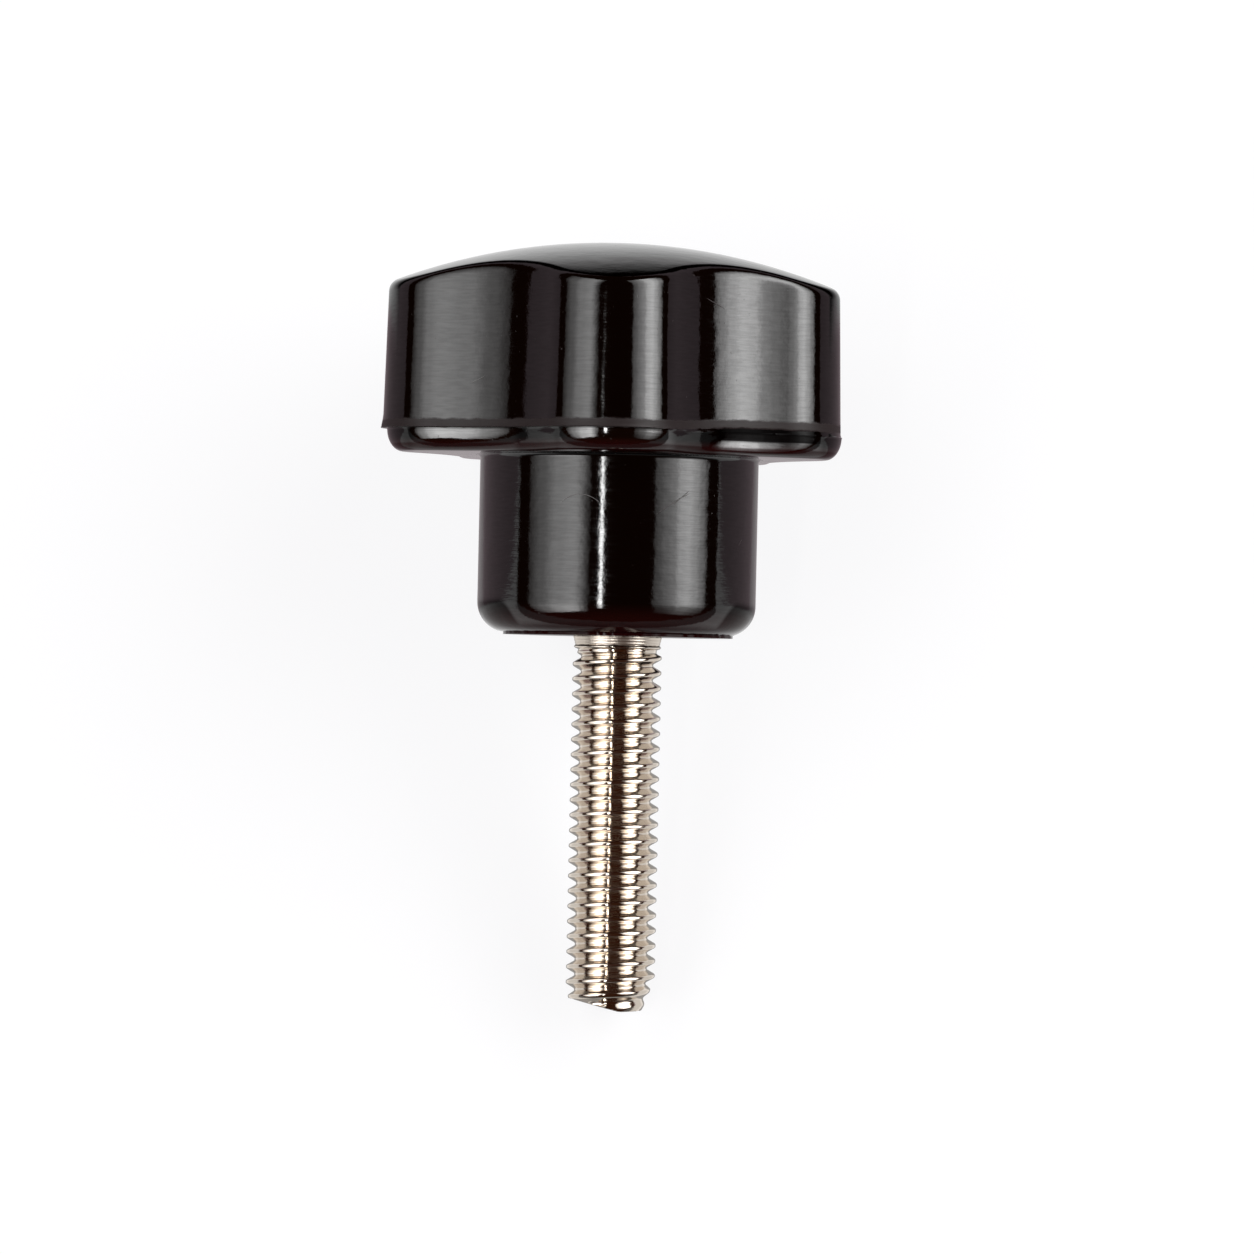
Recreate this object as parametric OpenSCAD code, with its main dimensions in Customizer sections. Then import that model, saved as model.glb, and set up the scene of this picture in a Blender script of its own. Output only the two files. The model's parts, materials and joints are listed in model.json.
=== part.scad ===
// Five-lobed moulded thumb screw with a steel stud, lying on a bench as it comes to rest:
// on two neighbouring lobes of the head and on the tip of the stud.
// Every form is drawn on the screw's own axis first, with the seat of the hub at z = 0, the
// stud below it and the head above, and is then laid down by the lie() module.

/* [Head] */
// Number of finger lobes
lobes = 5; // [4:1:8]
// Diameter of the circle through the lobe tips, at the parting line
tip_d = 31.1; // [29:0.1:36]
// Radius of each finger lobe, seen from above
lobe_r = 5; // [3.5:0.1:6]
// Radius of each hollow between two lobes, seen from above
hollow_r = 12.8; // [7:0.1:16]
// Height of the head, from its flat underside to the top of the crown
head_h = 14; // [11:0.05:20]
// Height of the parting line above the underside
parting_h = 1.4; // [1.3:0.01:3]
// Radius of the domed crown
crown_r = 39.5; // [32:0.5:90]
// Radius of the rounded edge between the side wall and the crown
rim_fillet = 0.85; // [0.5:0.05:1.5]
// Width of the rounded edge below the parting line, which is as high as the lower mould half
lower_round = 1.05; // [0.6:0.05:1.25]
// Draft of the side wall above the parting line, in degrees
draft = 1.4; // [0.5:0.1:3]

/* [Match of the mould halves] */
// Sideways place of the head above the parting line, measured from the stud's axis
crown_shift = -0.68; // [-0.9:0.01:0.9]
// How far the head below the parting line has slipped sideways from the part above it
mould_slip = 0.18; // [0:0.01:0.25]
// How much the outline is smaller below the parting line
mould_step = 0.11; // [0.03:0.01:0.15]
// Height of the small step where the two halves meet
ledge_h = 0.05; // [0.02:0.01:0.1]
// Sideways place of the hub, measured from the stud's axis
hub_shift = -0.13; // [-0.4:0.01:0.4]

/* [Hub] */
// Diameter of the hub
hub_d = 18.4; // [16.5:0.1:20]
// Height from the seat to the underside of the head
hub_h = 11.95; // [9:0.05:20]
// Radius of the rounded lower edge of the hub
hub_fillet = 2; // [0.8:0.1:2.5]
// Radius of the small fillet between the hub and the head
hub_root_fillet = 0.5; // [0.2:0.05:0.8]
// Diameter of the raised seat round the stud
seat_d = 15.2; // [12:0.1:15.5]
// Height of the raised seat
seat_h = 0.13; // [0.05:0.01:0.4]

/* [Stud] */
// Length of the stud below the seat
stud_len = 24.5; // [12:0.5:50]
// Outer diameter of the thread
thread_d = 5.88; // [5.7:0.01:6]
// Chamfer at the tip of the stud
tip_chamfer = 0.6; // [0.2:0.05:0.9]

/* [Moulded-in end of the stud] */
// Length of the cone inside the hub, from the full diameter down to the neck
shoulder_len = 0.3; // [0.2:0.1:0.8]
// Length from the seat to the knurl
neck_len = 2; // [1:0.5:4]
// Diameter of the neck, which is that of the blank before its thread is rolled
neck_d = 5.3; // [4.8:0.05:5.4]
// Length of the knurled anchor
anchor_len = 13; // [9:0.5:16]
// Diameter over the teeth of the knurl
knurl_d = 8; // [7:0.1:10]
// Depth of the teeth of the knurl
knurl_depth = 0.4; // [0.2:0.05:0.6]
// Number of teeth round the knurl
knurl_teeth = 24; // [12:1:36]
// Width of the locking groove round the middle of the knurl
lock_groove_w = 2.5; // [1:0.5:4]
// Diameter at the bottom of the locking groove
lock_groove_d = 6.4; // [5.9:0.1:6.8]

/* [Hidden] */

$fn = 96;

// The outline of the head is made of arcs that meet without a corner: a lobe, a hollow, a lobe.
lobe_angle = 360 / lobes;
lobe_centre = tip_d / 2 - lobe_r;
hollow_centre = lobe_centre * cos(lobe_angle / 2)
    + sqrt(pow(lobe_r + hollow_r, 2) - pow(lobe_centre * sin(lobe_angle / 2), 2));
// Half the sweep of a lobe's arc, from its tip to where the hollow takes over
lobe_sweep = atan2(hollow_centre * sin(lobe_angle / 2),
    hollow_centre * cos(lobe_angle / 2) - lobe_centre);
lobe_steps = 14;
hollow_steps = 6;
fillet_steps = 6;
crown_rings = 7;

underside_z = hub_h;
parting_z = hub_h + parting_h;
crown_top_z = hub_h + head_h;
crown_centre_z = crown_top_z - crown_r;

thread_r = thread_d / 2;
anchor_half = (anchor_len - lock_groove_w) / 2;
overlap = 1;

// The screw rests on two lobes at the parting line and on the edge of the tip's chamfer.
rest_head_r = lobe_centre * cos(lobe_angle / 2) + lobe_r;
rest_angle = atan((rest_head_r - thread_r) / (parting_z + stud_len - tip_chamfer));

// A station is [centre of its arc, signed radius, direction of the outward normal].
function stations() = [for (k = [0:lobes - 1]) each concat(lobe_stations(k), hollow_stations(k))];
function lobe_dir(k) = -90 + k * lobe_angle;
function polar(r, a) = r * [cos(a), sin(a)];
function lobe_stations(k) = [for (i = [0:lobe_steps - 1])
    [polar(lobe_centre, lobe_dir(k)), lobe_r, lobe_dir(k) + lobe_sweep * (2 * i / lobe_steps - 1)]];
function hollow_stations(k) = [for (i = [0:hollow_steps - 1])
    let (mid = lobe_dir(k) + lobe_angle / 2, half = lobe_sweep - lobe_angle / 2)
    [polar(hollow_centre, mid), -hollow_r, mid + half * (1 - 2 * i / hollow_steps)]];

// The point of a station with the outline moved inwards by an amount
function at(s, inward) = s[0] + polar(s[1] - inward, s[2]);
function ring_at(inward, z) = [for (s = outline) let (p = at(s, inward)) [p.x, p.y, z]];

// The ball that rolls along the rim touches the drafted wall and the crown at once. Its centre's
// height follows from the crown, and is refined because the wall leans in as it rises.
function ball_spot(s, z) = at(s, (z - parting_z) * tan(draft) + rim_fillet / cos(draft));
function crown_z(p, r) = crown_centre_z + sqrt(r * r - p * p);
function ball_z(s, z, turns) = turns == 0 ? z
    : ball_z(s, crown_z(ball_spot(s, z), crown_r - rim_fillet), turns - 1);
function between(a, b, t) = let (w = acos(a * b)) (sin((1 - t) * w) * a + sin(t * w) * b) / sin(w);
function wall_normal(s) = [cos(s[2]) * cos(draft), sin(s[2]) * cos(draft), sin(draft)];
function ball_centre(s) = let (z = ball_z(s, crown_top_z - rim_fillet, 4), p = ball_spot(s, z))
    [p.x, p.y, z];
function crown_normal(c) = (c - [0, 0, crown_centre_z]) / (crown_r - rim_fillet);
function rim_ring(t) = [for (s = outline) let (c = ball_centre(s))
    c + rim_fillet * between(wall_normal(s), crown_normal(c), t)];
function crown_ring(edge, t) = [for (p = edge) let (q = t * [p.x, p.y]) [q.x, q.y, crown_z(q, crown_r)]];

function moved(rings, x) = [for (ring = rings) [for (p = ring) p + [x, 0, 0]]];

outline = stations();

// A closed skin over rings of equal count, listed from the lowest up
module skin(rings) {
    count = len(rings[0]);
    last = len(rings) - 1;
    points = [for (ring = rings) each ring];
    sides = [for (r = [0:last - 1], i = [0:count - 1])
        let (a = r * count + i, b = r * count + (i + 1) % count)
        each [[a, a + count, b], [b, a + count, b + count]]];
    floor_face = [[for (i = [0:count - 1]) i]];
    top_face = [[for (i = [count - 1:-1:0]) last * count + i]];
    polyhedron(points, concat(sides, floor_face, top_face), convexity = 4);
}

// The moulded head in one skin: the rounded lower edge, the ledge where the mould halves meet,
// the drafted wall, the rolled rim and the domed crown
module head() {
    turn = 90 / fillet_steps;
    lower = [for (i = [0:fillet_steps])
        ring_at(mould_step + lower_round * (1 - sin(i * turn)),
            underside_z + (parting_h - ledge_h) * (1 - cos(i * turn)))];
    slipped = moved(lower, mould_slip);
    rolled = [for (i = [0:fillet_steps]) rim_ring(i / fillet_steps)];
    edge = rim_ring(1);
    dome = [for (i = [1:crown_rings]) crown_ring(edge, 1 - i / (crown_rings + 0.3))];
    translate([crown_shift, 0, 0]) skin(concat(slipped, [ring_at(0, parting_z)], rolled, dome));
}

module hub() {
    r = hub_d / 2;
    translate([hub_shift, 0, 0]) rotate_extrude() {
        translate([0, seat_h]) square([r - hub_fillet, underside_z - seat_h + overlap]);
        translate([0, seat_h + hub_fillet]) square([r, underside_z - seat_h - hub_fillet + overlap]);
        translate([r - hub_fillet, seat_h + hub_fillet]) circle(hub_fillet);
        translate([r, underside_z - hub_root_fillet]) difference() {
            square([hub_root_fillet, hub_root_fillet + overlap / 2]);
            translate([hub_root_fillet, 0]) circle(hub_root_fillet);
        }
    }
    cylinder(d = seat_d, h = seat_h + overlap);
}

// The knurled end that the plastic is moulded round, also the shape of the space it fills
module anchor() {
    cylinder(r1 = thread_r, r2 = neck_d / 2, h = shoulder_len);
    cylinder(d = neck_d, h = neck_len + overlap);
    for (z = [neck_len, neck_len + anchor_half + lock_groove_w]) translate([0, 0, z]) knurl(anchor_half);
    translate([0, 0, neck_len + overlap / 2]) cylinder(d = lock_groove_d, h = anchor_len - overlap);
}

module knurl(h) {
    pitch = 360 / knurl_teeth;
    tooth = [for (i = [0:knurl_teeth - 1]) each
        [polar(knurl_d / 2, i * pitch), polar(knurl_d / 2 - knurl_depth, (i + 0.5) * pitch)]];
    linear_extrude(h) polygon(tooth);
}

module knob() color([0.06, 0.05, 0.05]) lie() difference() {
    union() {
        head();
        hub();
    }
    anchor();
    mirror([0, 0, 1]) cylinder(r = thread_r, h = overlap);
}

// The stud is drawn at the outer diameter of its thread.
module stud() color([0.78, 0.75, 0.7]) lie() {
    anchor();
    translate([0, 0, tip_chamfer - stud_len]) {
        cylinder(r = thread_r, h = stud_len - tip_chamfer);
        mirror([0, 0, 1]) cylinder(r1 = thread_r, r2 = thread_r - tip_chamfer, h = tip_chamfer);
    }
}

// Lays the screw down: its axis runs along +Y and rises towards the head, and one lobe is on top.
module lie() rotate([rest_angle - 90, 0, 0]) children();

knob();
stud();
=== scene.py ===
"""Looks of a lobed thumb screw: a glossy black moulded knob on a nickel-plated threaded stud.

Both pieces are drawn on the screw's own axis, in millimetres, with the hub's seat at z = 0, the
stud below it and the head above, and are then laid down as the frame says.
"""
import json
import math

import bmesh
import bpy
from mathutils import Matrix, Vector, noise


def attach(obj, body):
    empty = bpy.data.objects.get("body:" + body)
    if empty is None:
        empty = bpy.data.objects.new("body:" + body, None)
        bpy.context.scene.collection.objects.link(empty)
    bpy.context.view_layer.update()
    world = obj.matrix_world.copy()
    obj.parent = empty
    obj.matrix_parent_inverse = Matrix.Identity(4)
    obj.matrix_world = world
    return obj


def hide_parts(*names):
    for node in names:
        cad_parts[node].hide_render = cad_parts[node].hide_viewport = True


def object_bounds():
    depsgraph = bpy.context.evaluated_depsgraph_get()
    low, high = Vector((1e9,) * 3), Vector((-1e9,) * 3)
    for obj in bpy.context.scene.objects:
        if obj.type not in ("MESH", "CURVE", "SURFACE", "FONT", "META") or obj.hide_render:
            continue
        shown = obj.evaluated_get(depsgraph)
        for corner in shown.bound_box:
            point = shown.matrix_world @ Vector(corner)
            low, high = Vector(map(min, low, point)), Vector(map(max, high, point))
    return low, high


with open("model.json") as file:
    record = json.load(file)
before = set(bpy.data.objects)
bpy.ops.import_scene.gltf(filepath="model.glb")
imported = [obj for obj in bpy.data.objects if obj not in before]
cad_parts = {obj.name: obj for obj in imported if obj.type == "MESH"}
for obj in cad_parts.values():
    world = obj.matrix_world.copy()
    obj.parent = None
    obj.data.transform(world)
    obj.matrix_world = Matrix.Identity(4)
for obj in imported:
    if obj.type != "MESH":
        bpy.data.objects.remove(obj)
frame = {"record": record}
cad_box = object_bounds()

MM = 0.001

# Sizes of the head, as in the part's source
LOBES = 5
TIP_R = 15.55
LOBE_R = 5.0
HOLLOW_R = 12.8
HEAD_H = 14.0
PARTING_H = 1.4
CROWN_R = 39.5
RIM_FILLET = 0.85
LOWER_ROUND = 1.05
DRAFT = math.radians(1.4)
CROWN_SHIFT = -0.68
MOULD_SLIP = 0.18
MOULD_STEP = 0.11
LEDGE_H = 0.05
# The lower mould half, drawn a touch deeper here than in the solid
LOWER_H = PARTING_H + 0.12

# Where the flash was filed off the right lobe, in degrees about the axis
FILED_FROM = -63
FILED_TO = -26
# The filed facet: how far it goes in, its top as a depth below the parting line, and its height
FACET_IN = 0.24
FACET_TOP = -0.28
FACET_H = 0.86
# What else the trimming left: a flared edge on the far left and a trace of flash
FLARE = 0.1
FLASH = 0.06

# Sizes of the hub
HUB_R = 9.2
HUB_H = 11.95
HUB_FILLET = 2.0
# Drawn tighter here than in the solid
HUB_ROOT_FILLET = 0.28
HUB_SHIFT = -0.13
SEAT_R = 7.6
SEAT_H = 0.13
SEAT_RAGGED = 0.012

# Sizes of the stud
STUD_LEN = 24.5
THREAD_R = 2.94
COLLAR_R = 2.93
COLLAR_END = -0.58
COLLAR_TAPER = 0.25
TURNING_DEPTH = 0.012
TURNING_PITCH = 0.19
RING_Z = -0.7
RING_HALF_H = 0.14
RING_CORE_R = 2.6
RING_ROUND = 0.27
GROOVE_R = 2.46
PITCH = 1.0
THREAD_DEPTH = 0.55
FLANK = math.radians(30)
CREST_LAND = 0.21
CREST_Z = -1.37
CREST_ROUND = 0.1
ROOT_ROUND = 0.09
# Where the thread runs out under the collar, and where it starts to fade out at the tip
RUN_OUT_Z = -0.95
RUN_OUT = 0.35
LAST_FULL_Z = -22.35
# The stud's end: its height, the slant on its left and where the slant starts
END_Z = -24.72
END_SLANT = 0.235
SLANT_X = 0.67

# Sizes of the moulded-in end of the stud
NECK_LEN = 2.0
NECK_R = 2.65
ANCHOR_LEN = 13.0
KNURL_R = 4.0
KNURL_DEPTH = 0.4
KNURL_TEETH = 24
LOCK_GROOVE_W = 2.5
LOCK_GROOVE_R = 3.2

# How finely the shapes are divided
LOBE_STEPS = 28
HOLLOW_STEPS = 20
AROUND = LOBES * (LOBE_STEPS + HOLLOW_STEPS)
FILLET_STEPS = 12
LOWER_STEPS = 20
WALL_PLACES = [0, 0.004, 0.01, 0.019, 0.028, 0.04, 0.06, 0.1] + [i / 12 for i in range(2, 12)]
CROWN_STEPS = 22
THREAD_STEPS = 60
PROFILE_STEPS = 26

LOBE_ANGLE = math.tau / LOBES
LOBE_CENTRE = TIP_R - LOBE_R
HOLLOW_CENTRE = LOBE_CENTRE * math.cos(LOBE_ANGLE / 2) + math.sqrt(
    (LOBE_R + HOLLOW_R) ** 2 - (LOBE_CENTRE * math.sin(LOBE_ANGLE / 2)) ** 2)
LOBE_SWEEP = math.atan2(HOLLOW_CENTRE * math.sin(LOBE_ANGLE / 2),
                        HOLLOW_CENTRE * math.cos(LOBE_ANGLE / 2) - LOBE_CENTRE)
PARTING_Z = HUB_H + PARTING_H
UNDERSIDE_Z = PARTING_Z - LOWER_H
CROWN_TOP_Z = HUB_H + HEAD_H
CROWN_CENTRE = Vector((0, 0, CROWN_TOP_Z - CROWN_R))
ROOT_R = THREAD_R - THREAD_DEPTH
ANCHOR_HALF = (ANCHOR_LEN - LOCK_GROOVE_W) / 2

# How the screw lies: its axis points to the head, which is against the seat's outward normal.
seat = next(m for m in frame["record"]["mounts"] if m["name"] == "seat")
AXIS = -Vector(seat["axis"]).normalized()
REST_ANGLE = math.asin(AXIS.z)
LAY = Matrix.Rotation(REST_ANGLE - math.pi / 2, 4, "X") @ Matrix.Scale(MM, 4)
RIGHT = Vector((1, 0, 0))
FRONT = RIGHT.cross(AXIS)


def polar(radius, angle):
    return Vector((radius * math.cos(angle), radius * math.sin(angle), 0))


def mix(a, b, t):
    return a + (b - a) * t


def smooth(t):
    """Eases from 0 to 1."""
    t = min(1, max(0, t))
    return t * t * (3 - 2 * t)


def soft_min(a, b, width):
    """The lower of two values, with a round corner where they cross."""
    h = max(0, width - abs(a - b)) / width
    return min(a, b) - h * h * width / 4


# The outline of the head: tangent arcs, a lobe, a hollow, a lobe

def station(i):
    """Centre, signed radius and direction of the outward normal at one step of the outline."""
    lobe, step = divmod(i % AROUND, LOBE_STEPS + HOLLOW_STEPS)
    middle = lobe * LOBE_ANGLE - math.pi / 2
    if step < LOBE_STEPS:
        return polar(LOBE_CENTRE, middle), LOBE_R, middle + LOBE_SWEEP * (2 * step / LOBE_STEPS - 1)
    middle += LOBE_ANGLE / 2
    turn = (LOBE_SWEEP - LOBE_ANGLE / 2) * (1 - 2 * (step - LOBE_STEPS) / HOLLOW_STEPS)
    return polar(HOLLOW_CENTRE, middle), -HOLLOW_R, middle + turn


OUTLINE = [station(i) for i in range(AROUND)]


def inward(place, amount):
    centre, radius, turn = place
    return centre + polar(radius - amount, turn)


def flat_ring(amount, z):
    return [inward(place, amount) + Vector((0, 0, z)) for place in OUTLINE]


def crown_height(point, radius):
    return CROWN_CENTRE.z + math.sqrt(radius ** 2 - point.x ** 2 - point.y ** 2)


def rim_ball(place):
    """Centre of the ball that rolls along the rim, touching the drafted wall and the crown."""
    z = CROWN_TOP_Z - RIM_FILLET
    for _ in range(4):
        spot = inward(place, (z - PARTING_Z) * math.tan(DRAFT) + RIM_FILLET / math.cos(DRAFT))
        z = crown_height(spot, CROWN_R - RIM_FILLET)
    return Vector((spot.x, spot.y, z))


def rim_ring(t):
    ring = []
    for place in OUTLINE:
        ball = rim_ball(place)
        wall = polar(math.cos(DRAFT), place[2]) + Vector((0, 0, math.sin(DRAFT)))
        crown = (ball - CROWN_CENTRE).normalized()
        ring.append(ball + RIM_FILLET * wall.slerp(crown, t))
    return ring


def crown_ring(edge, t):
    ring = [Vector((t * p.x, t * p.y, 0)) for p in edge]
    for p in ring:
        p.z = crown_height(p, CROWN_R)
    return ring


def shifted(ring, x):
    return [p + Vector((x, 0, 0)) for p in ring]


# Building of meshes

def add_skin(bm, rings):
    """Rolls a flat grid into a skin over rings of equal count, listed from the lowest up."""
    count, rows = len(rings[0]), len(rings) - 1
    made = bmesh.ops.create_grid(bm, x_segments=count, y_segments=rows, size=1)["verts"]
    for v in made:
        column = round((v.co.x + 1) / 2 * count)
        row = round((v.co.y + 1) / 2 * rows)
        v.co = rings[row][column % count]
    bmesh.ops.remove_doubles(bm, verts=made, dist=1e-5)


def add_lathe(bm, section):
    """Turns a section of (radius, height) points about the screw's axis."""
    verts = [bm.verts.new((r, 0, z)) for r, z in section]
    edges = [bm.edges.new(pair) for pair in zip(verts, verts[1:])]
    bmesh.ops.spin(bm, geom=verts + edges, cent=(0, 0, 0), axis=(0, 0, 1), angle=math.tau, steps=AROUND,
                   use_merge=True)


def arc(centre_r, centre_z, radius, start, end, steps=FILLET_STEPS):
    turns = [math.radians(mix(start, end, i / steps)) for i in range(steps + 1)]
    return [(centre_r + radius * math.cos(a), centre_z + radius * math.sin(a)) for a in turns]


def finish_mesh(bm, name, sharp):
    """Merges doubles, turns faces outwards, marks sharp edges and makes the laid down object."""
    bmesh.ops.remove_doubles(bm, verts=bm.verts, dist=1e-4)
    bmesh.ops.dissolve_degenerate(bm, edges=bm.edges, dist=1e-5)
    bmesh.ops.recalc_face_normals(bm, faces=bm.faces)
    for edge in bm.edges:
        edge.smooth = edge.calc_face_angle(0) < math.radians(sharp)
    for face in bm.faces:
        face.smooth = True
    bmesh.ops.transform(bm, matrix=LAY, verts=bm.verts)
    mesh = bpy.data.meshes.new(name)
    bm.to_mesh(mesh)
    bm.free()
    piece = bpy.data.objects.new(name, mesh)
    bpy.context.scene.collection.objects.link(piece)
    return piece


def anchor_section():
    """The knurled end of the stud from its top to its neck, as (radius, height) points."""
    groove_low = NECK_LEN + ANCHOR_HALF
    groove_high = groove_low + LOCK_GROOVE_W
    top = NECK_LEN + ANCHOR_LEN
    return [(0, top), (KNURL_R, top), (KNURL_R, groove_high), (LOCK_GROOVE_R, groove_high),
            (LOCK_GROOVE_R, groove_low), (KNURL_R, groove_low), (KNURL_R, NECK_LEN), (NECK_R, NECK_LEN)]


def cut_knurl(bm):
    """Draws every second run of the knurled surface in, so that it has straight teeth."""
    for v in bm.verts:
        radius = math.hypot(v.co.x, v.co.y)
        if abs(radius - KNURL_R) < 0.01 and v.co.z > NECK_LEN - 0.01:
            turn = math.atan2(v.co.y, v.co.x) / math.tau * KNURL_TEETH % 1
            depth = KNURL_DEPTH * (1 - abs(2 * turn - 1))
            v.co.xy *= (radius - depth) / radius


# The knob

def rounded_in(depth):
    """How far the moulded lower edge draws in at a depth below the parting line."""
    t = (depth - LEDGE_H) / (LOWER_H - LEDGE_H)
    return MOULD_STEP + LOWER_ROUND * (1 - math.sqrt(max(0, 1 - t * t)))


def trimmed_in(depth):
    """The same where the flash was filed off: a facet, an upright edge under it and a tight corner."""
    corner_h = 0.32
    t = max(0, depth - LOWER_H + corner_h) / corner_h
    below = max(0, depth - FACET_TOP - FACET_H)
    facet = FACET_IN * min(1, max(0, (depth - FACET_TOP) / FACET_H)) + 0.04 * below
    return facet + 0.9 * (1 - math.sqrt(max(0, 1 - t * t)))


def touched_up(ring):
    """Adds what the trimming left at the parting line: a facet, a flared edge and a trace of flash."""
    out = []
    for place, p in zip(OUTLINE, ring):
        outward = polar(1, place[2])
        turn = math.degrees(math.atan2(p.y, p.x))
        depth = PARTING_Z - p.z
        filed = smooth((turn - FILED_FROM) / 8) * smooth((FILED_TO - turn) / 14)
        base = rounded_in(depth) if depth > LEDGE_H / 2 else 0
        grow = -filed * (trimmed_in(depth) - base)
        flared = max(0, -outward.x) ** 6 * smooth(1 + depth / 0.9) if depth <= 0.01 else 0
        flash = 0.5 + 0.5 * noise.noise(Vector((2.2 * p.x, 2.2 * p.y, 0)))
        grow += FLARE * flared + FLASH * flash * (1 - filed) * smooth(1 - abs(depth) / 0.14)
        out.append(p + grow * outward)
    return out


def head_rings():
    quarter = math.pi / 2
    lower = []
    for i in range(LOWER_STEPS + 1):
        depth = LEDGE_H + (LOWER_H - LEDGE_H) * math.cos(quarter * i / LOWER_STEPS)
        lower.append(flat_ring(rounded_in(depth), PARTING_Z - depth))
    lower = [shifted(touched_up(ring), MOULD_SLIP) for ring in lower]
    foot, top = flat_ring(0, PARTING_Z), rim_ring(0)
    wall = [touched_up([mix(a, b, t) for a, b in zip(foot, top)]) for t in WALL_PLACES]
    rim = [rim_ring(i / FILLET_STEPS) for i in range(FILLET_STEPS + 1)]
    crown = [crown_ring(rim[-1], 1 - i / CROWN_STEPS) for i in range(1, CROWN_STEPS + 1)]
    return [shifted(ring, CROWN_SHIFT) for ring in lower + wall + rim + crown]


def hub_section():
    seat_top = SEAT_H + HUB_FILLET - math.sqrt(HUB_FILLET ** 2 - (SEAT_R - HUB_R + HUB_FILLET) ** 2)
    start = math.degrees(math.acos((SEAT_R - HUB_R + HUB_FILLET) / HUB_FILLET))
    section = anchor_section() + [(NECK_R, 0), (SEAT_R, 0), (SEAT_R, seat_top)]
    section += arc(HUB_R - HUB_FILLET, SEAT_H + HUB_FILLET, HUB_FILLET, -start, 0)[1:]
    section += arc(HUB_R + HUB_ROOT_FILLET, UNDERSIDE_Z - HUB_ROOT_FILLET, HUB_ROOT_FILLET, 180, 90)
    return section


def make_knob():
    bm = bmesh.new()
    add_lathe(bm, hub_section())
    cut_knurl(bm)
    for v in bm.verts:
        radius = math.hypot(v.co.x, v.co.y)
        if abs(radius - SEAT_R) < 0.01:
            v.co.xy *= 1 + SEAT_RAGGED * noise.noise(Vector((1.6 * v.co.x, 1.6 * v.co.y, 0)))
        elif radius > SEAT_R:
            v.co.x += HUB_SHIFT
    add_skin(bm, head_rings())
    open_edges = [e for e in bm.edges if e.is_boundary]
    bmesh.ops.bridge_loops(bm, edges=open_edges)
    return finish_mesh(bm, "knob_moulding", sharp=32)


# The stud

def collar_radius(z):
    """Radius above the thread: a tapered collar with turning marks, a rounded ring and a groove."""
    if z > COLLAR_END:
        return COLLAR_R + COLLAR_TAPER * z - TURNING_DEPTH * math.cos(math.tau * z / TURNING_PITCH)
    reach = (z - RING_Z) / RING_HALF_H
    return max(GROOVE_R, RING_CORE_R + RING_ROUND * math.sqrt(max(0, 1 - reach * reach)))


def thread_radius(z, turn):
    """Radius of the rolled thread, which fades out towards the tip, and sooner on the right."""
    phase = ((z - CREST_Z) / PITCH - turn / math.tau) % 1
    off_crest = min(phase, 1 - phase) * PITCH
    flank = THREAD_R - (off_crest - CREST_LAND / 2) / math.tan(FLANK)
    full = -soft_min(-ROOT_R, -soft_min(THREAD_R, flank, CREST_ROUND), ROOT_ROUND)
    lost = 0.3 * max(0, LAST_FULL_Z - 0.45 * (1 - math.cos(turn)) - z) ** 1.2
    height = (full - ROOT_R) / THREAD_DEPTH
    return mix(ROOT_R - 0.4 * lost, THREAD_R - lost, height)


def end_height(x):
    """Height of the stud's end, which is sheared off at a slant on the left."""
    return END_Z + (END_SLANT * (SLANT_X - x) if x < SLANT_X else 0.03 * (x - SLANT_X))


def shape_stud(v):
    """Moves a point of the plain helical skin to the surface of the stud."""
    z, turn = v.co.z, math.atan2(v.co.y, v.co.x)
    radius = NECK_R
    if z <= 0:
        radius = mix(collar_radius(z), thread_radius(z, turn), smooth((RUN_OUT_Z - z) / RUN_OUT))
    end = end_height(2.6 * math.cos(turn))
    if z < end:
        spread = max(0, 1 - (end - z) / 1.2)
        radius = spread * thread_radius(end, turn)
        z = end_height(radius * math.cos(turn)) + 0.1 * max(0, spread / 0.08 - 11.5) ** 2
    v.co = polar(radius, turn) + Vector((0, 0, z))


def make_stud():
    turns = math.ceil(STUD_LEN / PITCH) + 5
    start = -STUD_LEN - 3 * PITCH
    bm = bmesh.new()
    line = [bm.verts.new((1, 0, start + PITCH * i / PROFILE_STEPS)) for i in range(PROFILE_STEPS + 1)]
    edges = [bm.edges.new(pair) for pair in zip(line, line[1:])]
    bmesh.ops.spin(bm, geom=line + edges, cent=(0, 0, 0), axis=(0, 0, 1),
                   dvec=(0, 0, PITCH / THREAD_STEPS), angle=math.tau, steps=THREAD_STEPS)
    one_turn = bm.verts[:] + bm.edges[:] + bm.faces[:]
    for turn in range(1, turns):
        copied = bmesh.ops.duplicate(bm, geom=one_turn)["geom"]
        moved = [g for g in copied if isinstance(g, bmesh.types.BMVert)]
        bmesh.ops.translate(bm, verts=moved, vec=(0, 0, turn * PITCH))
    bmesh.ops.remove_doubles(bm, verts=bm.verts, dist=1e-4)
    for v in bm.verts:
        shape_stud(v)
    cut = bmesh.ops.bisect_plane(bm, geom=bm.verts[:] + bm.edges[:] + bm.faces[:], dist=1e-5,
                                 plane_co=(0, 0, NECK_LEN), plane_no=(0, 0, 1), clear_outer=True)
    rim = [g for g in cut["geom_cut"] if isinstance(g, bmesh.types.BMEdge)]
    bmesh.ops.contextual_create(bm, geom=rim)
    add_lathe(bm, anchor_section() + [(0, NECK_LEN)])
    cut_knurl(bm)
    return finish_mesh(bm, "threaded_stud", sharp=40)


# Finishes

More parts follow.
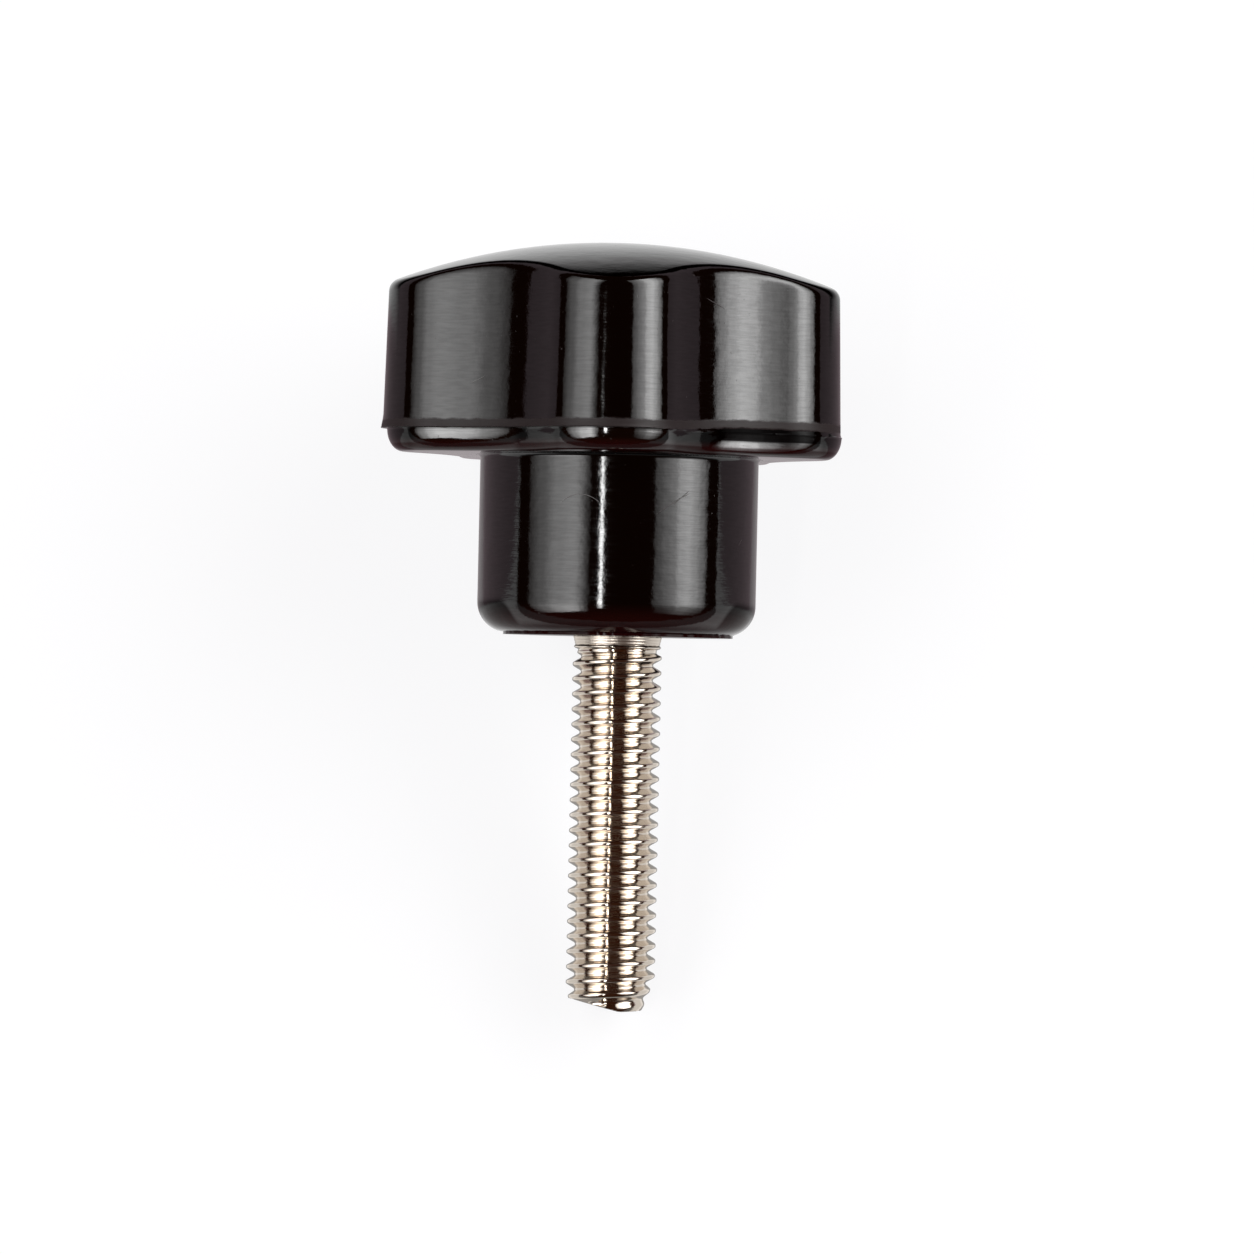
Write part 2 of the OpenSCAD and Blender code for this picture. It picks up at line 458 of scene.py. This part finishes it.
def add_node(tree, kind, values=(), **settings):
    """A node with its settings made, and its sockets given a value or another node's output."""
    node = tree.nodes.new("ShaderNode" + kind)
    for key, value in settings.items():
        setattr(node, key, value)
    for key, value in dict(values).items():
        if isinstance(value, bpy.types.NodeSocket):
            tree.links.new(value, node.inputs[key])
        else:
            node.inputs[key].default_value = value
    return node


def new_finish(name):
    finish = bpy.data.materials.new(name)
    finish.use_nodes = True
    return finish, finish.node_tree, finish.node_tree.nodes["Principled BSDF"]


def screw_place(tree):
    """The place on the screw in millimetres, with Z along its axis."""
    place = add_node(tree, "TexCoord").outputs["Object"]
    return add_node(tree, "Mapping", {
        "Vector": place,
        "Rotation": (math.pi / 2 - REST_ANGLE, 0, 0),
        "Scale": (1 / MM, 1 / MM, 1 / MM),
    }).outputs[0]


def maths(tree, operation, *values):
    return add_node(tree, "Math", dict(enumerate(values)), operation=operation).outputs[0]


def product(tree, first, *others):
    for other in others:
        first = maths(tree, "MULTIPLY", first, other)
    return first


def fade(tree, value, start, stop, low, high):
    """A level that eases from low to high as the value goes from start to stop."""
    ends = {"Value": value, "From Min": start, "From Max": stop, "To Min": low, "To Max": high}
    return add_node(tree, "MapRange", ends, interpolation_type="SMOOTHSTEP").outputs[0]


def blend(tree, factor, a, b):
    return add_node(tree, "Mix", {"Factor": factor, "A": a, "B": b}, data_type="FLOAT").outputs[0]


def tint(tree, factor, a, b):
    """A colour that goes from a to b with the factor."""
    colours = {6: a, 7: b}
    for socket, colour in colours.items():
        if isinstance(colour, tuple):
            colours[socket] = (*colour, 1)
    return add_node(tree, "Mix", {"Factor": factor, **colours}, data_type="RGBA").outputs[2]


def patches(tree, place, scale, detail, stretch=(1, 1, 1)):
    """Noise with the given number of features per millimetre."""
    spread = add_node(tree, "Mapping", {"Vector": place, "Scale": stretch}).outputs[0]
    noisy = add_node(tree, "TexNoise", {"Vector": spread, "Scale": scale, "Detail": detail})
    return noisy.outputs["Fac"]


def raised(tree, height, distance, under=None):
    """A bump with its height in millimetres, over another one if given."""
    values = {"Height": height, "Distance": distance * MM}
    if under:
        values["Normal"] = under
    return add_node(tree, "Bump", values).outputs[0]


def hairline(tree, axes, x, z, slope, curve, reach, width):
    """A scratch on the front: a curve through (x, z) with its slope, bend, half length and width."""
    along = maths(tree, "SUBTRACT", axes["X"], x)
    bend = maths(tree, "MULTIPLY_ADD", along, curve, slope)
    height = maths(tree, "MULTIPLY_ADD", along, bend, z)
    off = maths(tree, "ABSOLUTE", maths(tree, "SUBTRACT", axes["Z"], height))
    length = fade(tree, maths(tree, "ABSOLUTE", along), 0.6 * reach, reach, 1.0, 0.0)
    front = fade(tree, axes["Y"], -2.0, -1.0, 1.0, 0.0)
    mark = maths(tree, "MULTIPLY", fade(tree, off, 0.0, width, 1.0, 0.0), length)
    return maths(tree, "MULTIPLY", mark, front)


SCRATCHES = [
    (-2.6, 9.12, 0.0, -0.33, 1.5, 0.035),
    (3.4, 8.7, 0.66, -0.1, 1.2, 0.05),
    (3.9, 9.0, 0.9, 0.0, 0.6, 0.04),
    (7.9, 6.3, 2.0, 0.0, 0.12, 0.04),
    (5.9, 21.6, -0.5, 0.0, 0.7, 0.03),
    (-9.4, 16.4, 0.5, 0.1, 0.5, 0.03),
]


def trimmed_band(tree, place, axes):
    """Height above the foot of the band that was sanded off the wall, and where that band is."""
    foot = fade(tree, axes["X"], 2.0, 8.0, PARTING_Z, PARTING_Z + 0.27)
    ragged = maths(tree, "MULTIPLY_ADD", patches(tree, place, 1.6, 4.0), 0.24, -0.12)
    rise = maths(tree, "ADD", maths(tree, "SUBTRACT", axes["Z"], foot), ragged)
    started = fade(tree, rise, -0.08, 0.0, 0.0, 1.0)
    ended = fade(tree, rise, 0.42, 0.62, 1.0, 0.0)
    return rise, product(tree, started, ended)


def small_wear(tree, place, axes):
    """Fine specks, and the scratches at full strength."""
    worn = fade(tree, patches(tree, place, 5.0, 2.0), 0.74, 0.79, 0.0, 0.6)
    for scratch in SCRATCHES:
        worn = maths(tree, "MAXIMUM", worn, hairline(tree, axes, *scratch))
    return worn


def head_gloss_and_painted_light(tree, axes, rise, sanded):
    """How much the head reflects: less under the parting line, and least where it faces the ground,
    which is painted shade. Under the parting line the front and side lobes reflect more, which is a
    painted highlight, and the filed facet reflects almost nothing, which is painted shade in its
    recess.
    """
    # Painted highlight: under the parting line the front and side lobes, picked by where they stand
    # across the view, reflect more than the hollows between them.
    aside = maths(tree, "ABSOLUTE", maths(tree, "ADD", axes["X"], 0.3))
    front_lobe = fade(tree, aside, 3.2, 3.9, 1.0, 0.0)
    side_lobes = fade(tree, aside, 6.2, 6.9, 0.0, 1.0)
    corners = fade(tree, aside, 12.9, 13.6, 1.0, 0.0)
    painted_lobe_highlights = product(tree, maths(tree, "ADD", front_lobe, side_lobes), corners)
    above = fade(tree, axes["Z"], PARTING_Z - 0.19, PARTING_Z - 0.1, 0.0, 1.0)
    level = blend(tree, above, blend(tree, painted_lobe_highlights, 0.26, 0.95), blend(tree, sanded, 0.5, 0.16))
    # Painted shade: the reflection fades out where the head faces the ground.
    lowest = fade(tree, axes["Z"], UNDERSIDE_Z + 0.42, UNDERSIDE_Z + 0.6, 0.2, 1.0)
    # Painted shade: the filed facet reflects almost nothing.
    facet_end = PARTING_Z - FACET_TOP - FACET_H
    facet = product(tree,
                    fade(tree, axes["X"], 5.6, 6.4, 0.0, 1.0),
                    fade(tree, axes["X"], 12.4, 13.4, 1.0, 0.0),
                    fade(tree, axes["Z"], facet_end - 0.04, facet_end + 0.04, 0.0, 1.0),
                    fade(tree, rise, 0.0, 0.08, 0.9, 0.0))
    return product(tree, level, lowest, maths(tree, "SUBTRACT", 1.0, facet))


def hub_gloss_and_painted_shade(tree, axes):
    """How much the hub reflects: little at its foot, which is higher on its flanks. The cut at the foot
    is painted shade.
    """
    flank = fade(tree, maths(tree, "ABSOLUTE", axes["X"]), 6.3, 7.8, 0.0, -1.5)
    return fade(tree, maths(tree, "ADD", axes["Z"], flank), 0.5, 1.0, 0.06, 0.5)


def phenolic():
    finish, tree, shader = new_finish("black_phenolic")
    place = screw_place(tree)
    axes = add_node(tree, "SeparateXYZ", {0: place}).outputs
    across = [maths(tree, "POWER", axes[axis], 2.0) for axis in "XY"]
    around = maths(tree, "SQRT", maths(tree, "ADD", *across))
    on_head = fade(tree, around, 9.6, 10.0, 0.0, 1.0)
    rise, sanded = trimmed_band(tree, place, axes)
    worn = small_wear(tree, place, axes)

    lines = patches(tree, place, 1.0, 4.0, (0.9, 0.9, 9.0))
    haze = fade(tree, lines, 0.4, 0.75, 0.05, 0.11)
    rough = blend(tree, worn, blend(tree, sanded, haze, 0.42), 0.4)
    tree.links.new(rough, shader.inputs["Roughness"])

    shader.inputs["IOR"].default_value = 1.6
    # The reflection level carries painted shade at the hub's foot and under the head, and painted
    # highlights on the head's lower lobes, along with the real gloss and polishing lines.
    gloss = blend(tree, on_head, hub_gloss_and_painted_shade(tree, axes), head_gloss_and_painted_light(tree, axes, rise, sanded))
    gloss = product(tree, gloss, fade(tree, lines, 0.3, 0.7, 1.07, 0.89))
    tree.links.new(gloss, shader.inputs["Specular IOR Level"])

    # Painted reflection: the hub's foot and the head's underside get a brown tone that stands in for
    # the reddish surroundings they reflect. The lighter grey of the sanded band, specks and scratches
    # is their own colour.
    under = blend(tree, on_head, fade(tree, axes["Z"], 0.3, 2.2, 1.0, 0.0),
                  fade(tree, axes["Z"], UNDERSIDE_Z + 0.3, UNDERSIDE_Z + 0.9, 1.0, 0.0))
    painted_reflection_brown = tint(tree, under, (0.0005, 0.0001, 0.0001), (0.016, 0.002, 0.002))
    dull = maths(tree, "MAXIMUM", product(tree, sanded, 0.6), worn)
    tree.links.new(tint(tree, dull, painted_reflection_brown, (0.03, 0.022, 0.022)), shader.inputs["Base Color"])

    normal = raised(tree, patches(tree, place, 0.9, 3.0), 0.014)
    normal = raised(tree, lines, 0.004, normal)
    normal = raised(tree, product(tree, worn, -1.0), 0.006, normal)
    tree.links.new(normal, shader.inputs["Normal"])
    return finish


def nickel():
    finish, tree, shader = new_finish("nickel_plate")
    place = screw_place(tree)
    axes = add_node(tree, "SeparateXYZ", {0: place}).outputs
    cloudy = patches(tree, place, 0.7, 3.0)
    plating = tint(tree, cloudy, (0.78, 0.695, 0.6), (0.72, 0.645, 0.565))
    tree.links.new(plating, shader.inputs["Base Color"])
    shader.inputs["Metallic"].default_value = 1.0
    turned = fade(tree, axes["Z"], COLLAR_END - 0.04, COLLAR_END + 0.02, 0.0, 1.0)
    polish = fade(tree, cloudy, 0.35, 0.7, 0.09, 0.15)
    tree.links.new(blend(tree, turned, polish, 0.33), shader.inputs["Roughness"])
    normal = raised(tree, patches(tree, place, 4.0, 3.0), 0.004)
    normal = raised(tree, patches(tree, place, 1.0, 3.0, (0.6, 0.6, 12.0)), 0.003, normal)
    tree.links.new(normal, shader.inputs["Normal"])
    return finish


# The studio

def widening(tree, axes, spread, start):
    """A distance aside that grows along the stud towards the head."""
    return maths(tree, "MULTIPLY_ADD", axes["Y"], spread, start)


def ground_light(tree):
    """Brightness and colour that gloss sees on the ground, by the place there in metres: painted light
    and shade, with a painted shadow under the stud.
    """
    place = add_node(tree, "TexCoord").outputs["Object"]
    axes = add_node(tree, "SeparateXYZ", {0: place}).outputs
    aside = maths(tree, "ABSOLUTE", axes["X"])
    # By the stud: a painted shadow right under it, and painted shade again past its end
    under = fade(tree, aside, widening(tree, axes, 0.071, 0.0053), widening(tree, axes, 0.18, 0.0086),
                 0.35, 0.95)
    clear = fade(tree, aside, widening(tree, axes, 0.2, 0.0095), widening(tree, axes, 0.34, 0.0143),
                 1.0, 0.8)
    by_stud = product(tree, under, clear, fade(tree, axes["Y"], -0.033, -0.027, 0.4, 1.0))
    # By the hub and head: painted shade, dimmer ground beside them
    at_hub = fade(tree, axes["Y"], 0.002, 0.004, 0.0, 1.0)
    near = blend(tree, at_hub, by_stud, fade(tree, aside, 0.016, 0.020, 0.44, 0.3))
    # Past the head, where the dome shows it: a painted bright patch
    off = maths(tree, "ABSOLUTE", maths(tree, "ADD", axes["X"], 0.008))
    off = maths(tree, "MAXIMUM", maths(tree, "SUBTRACT", off, 0.006), 0.0)
    away = maths(tree, "MULTIPLY_ADD", off, 0.6, axes["Y"])
    past_head = product(tree, fade(tree, axes["Y"], 0.024, 0.030, 0.0, 1.0),
                        fade(tree, aside, 0.05, 0.07, 1.0, 0.0))
    level = blend(tree, past_head, near, fade(tree, away, 0.036, 0.066, 0.83, 0.0))
    # A painted reddish tone in the reflections by the hub and head, and none where it is bright
    neutral = fade(tree, axes["Y"], 0.002, 0.004, 1.0, 0.0)
    neutral = maths(tree, "MAXIMUM", neutral, fade(tree, level, 0.3, 0.55, 0.0, 1.0))
    neutral = maths(tree, "MAXIMUM", neutral, product(tree, past_head, 0.9))
    return level, tint(tree, neutral, (1, 0.79, 0.86), (1, 1, 1))


def paper():
    """White for the camera, with a faint shadow, and glowing with the painted light and shade of
    ground_light where gloss shows it.
    """
    finish, tree, shader = new_finish("white_ground")
    tree.nodes.remove(shader)
    out = next(n for n in tree.nodes if n.type == "OUTPUT_MATERIAL")
    level, colour = ground_light(tree)
    shown = add_node(tree, "Emission", {"Color": colour, "Strength": level})
    ray = add_node(tree, "LightPath").outputs
    lit = add_node(tree, "BsdfDiffuse", {"Color": (0.15, 0.15, 0.15, 1)})
    white = {"Color": (0.83, 0.83, 0.84, 1), "Strength": ray["Is Camera Ray"]}
    glow = add_node(tree, "Emission", white)
    ground = add_node(tree, "AddShader", {0: lit.outputs[0], 1: glow.outputs[0]})
    either = {0: ray["Is Glossy Ray"], 1: ground.outputs[0], 2: shown.outputs[0]}
    tree.links.new(add_node(tree, "MixShader", either).outputs[0], out.inputs["Surface"])
    return finish


def make_ground():
    bm = bmesh.new()
    bmesh.ops.create_grid(bm, x_segments=1, y_segments=1, size=1.5)
    bmesh.ops.translate(bm, verts=bm.verts, vec=(0, 0, cad_box[0][2]))
    mesh = bpy.data.meshes.new("ground")
    bm.to_mesh(mesh)
    bm.free()
    ground = bpy.data.objects.new("ground", mesh)
    bpy.context.scene.collection.objects.link(ground)
    mesh.materials.append(paper())


def studio_direction(azimuth, elevation):
    """A direction from the screw: azimuth is from the camera to the right, elevation is to the head."""
    a, e = math.radians(azimuth), math.radians(elevation)
    return math.cos(e) * (math.cos(a) * FRONT + math.sin(a) * RIGHT) + math.sin(e) * AXIS


def placed(spot, right, up, back):
    """The matrix of a lamp or a camera at a spot, by the directions of its three axes."""
    return Matrix.Translation(spot) @ Matrix((right, up, back)).transposed().to_4x4()


def make_lamp(name, azimuth, elevation, level, across, along):
    """A lamp facing the screw. azimuth and elevation give its edges in degrees, and across and along
    give its brightness from edge to edge as (place, level) stops."""
    distance = 0.5
    middle = [(a + b) / 2 for a, b in (azimuth, elevation)]
    half = [math.radians(b - a) / 2 for a, b in (azimuth, elevation)]
    toward = studio_direction(*middle)
    up = (AXIS - toward * AXIS.dot(toward)).normalized()
    lamp = bpy.data.lights.new(name, "AREA")
    lamp.shape = "RECTANGLE"
    lamp.size = 2 * distance * math.tan(half[0])
    lamp.size_y = 2 * distance * math.tan(half[1])
    lamp.energy = math.pi * lamp.size * lamp.size_y * level
    lamp.use_nodes = True
    tree = lamp.node_tree
    parametric = add_node(tree, "NewGeometry").outputs["Parametric"]
    spot = add_node(tree, "SeparateXYZ", {0: parametric}).outputs
    levels = []
    for value, stops in ((spot["X"], across), (spot["Y"], along)):
        ramp = add_node(tree, "ValToRGB", {"Fac": value})
        ramp.color_ramp.interpolation = "EASE"
        for place, _ in stops[2:]:
            ramp.color_ramp.elements.new(place)
        for element, (place, bright) in zip(ramp.color_ramp.elements, sorted(stops)):
            element.position = place
            element.color = (bright, bright, bright, 1)
        levels.append(ramp.outputs["Color"])
    strength = add_node(tree, "Math", {0: levels[0], 1: levels[1]}, operation="MULTIPLY")
    tree.links.new(strength.outputs[0], tree.nodes["Emission"].inputs["Strength"])
    box = bpy.data.objects.new(name, lamp)
    box.matrix_world = placed(toward * distance, up.cross(toward), up, toward)
    box.visible_camera = False
    bpy.context.scene.collection.objects.link(box)


def make_world():
    world = bpy.data.worlds.new("dark_studio")
    world.use_nodes = True
    tree = world.node_tree
    seen = add_node(tree, "LightPath").outputs["Is Camera Ray"]
    colour = tint(tree, seen, (0.034, 0.011, 0.004), (0.98, 0.98, 0.99))
    tree.links.new(colour, tree.nodes["Background"].inputs["Color"])
    bpy.context.scene.world = world


# The camera: a long lens, square to the screw
PIXELS = 1254
PX_PER_MM = 15.13
FOCAL_PX = 7170
SENSOR = 36
# Where the seat's centre shows, how high on the screw the camera stands, and how far the screw leans
SEAT_PX = Vector((617.7, 636.5))
SQUARE_Z = -2.94
LEAN = math.radians(1.24)


def make_camera():
    across = math.cos(LEAN) * RIGHT + math.sin(LEAN) * AXIS
    up = math.cos(LEAN) * AXIS - math.sin(LEAN) * RIGHT
    off = (Vector((PIXELS / 2, PIXELS / 2)) - SEAT_PX) / PX_PER_MM * MM
    target = off.x * across - off.y * up
    distance = FOCAL_PX / PX_PER_MM * MM
    spot = Vector((target.x, 0, 0)) + SQUARE_Z * MM * AXIS + distance * FRONT
    back = (spot - target).normalized()
    right = up.cross(back).normalized()
    data = bpy.data.cameras.new("camera")
    data.sensor_width = SENSOR
    data.lens = FOCAL_PX / PIXELS * SENSOR
    data.clip_start = 0.01
    camera = bpy.data.objects.new("camera", data)
    camera.matrix_world = placed(spot, right, back.cross(right), back)
    bpy.context.scene.collection.objects.link(camera)
    bpy.context.scene.camera = camera


make_camera()

knob = make_knob()
knob.data.materials.append(phenolic())
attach(knob, "root")
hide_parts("knob")

stud = make_stud()
stud.data.materials.append(nickel())
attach(stud, "root")
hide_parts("stud")

make_ground()
make_world()
make_lamp("left_softbox", (-78, -22.6), (-36, 60), 3.3,
          [(0, 0.1), (0.25, 0.35), (0.5, 0.8), (0.75, 1.0), (1, 0.1)],
          [(0, 0.4), (0.05, 1.3), (0.29, 1.5), (0.37, 1.1), (0.41, 1.0), (1, 0.85)])
make_lamp("right_softbox", (29.4, 79), (-36, 60), 7.1,
          [(0, 0.1), (0.1, 0.18), (0.23, 0.32), (0.36, 0.47), (0.48, 0.88), (0.61, 1.0), (0.75, 0.72),
           (0.89, 0.38), (1, 0.12)],
          [(0, 0.02), (0.1, 0.12), (0.3, 0.25), (0.36, 0.6), (0.41, 0.8), (0.45, 1), (1, 0.9)])
make_lamp("bright_gap", (-15, -11.3), (-20, 9), 24, [(0, 0.2), (0.5, 1), (1, 0.2)],
          [(0, 0.3), (0.4, 1), (0.74, 1), (0.86, 0.04), (1, 0)])

bpy.context.scene.view_settings.view_transform = "Standard"
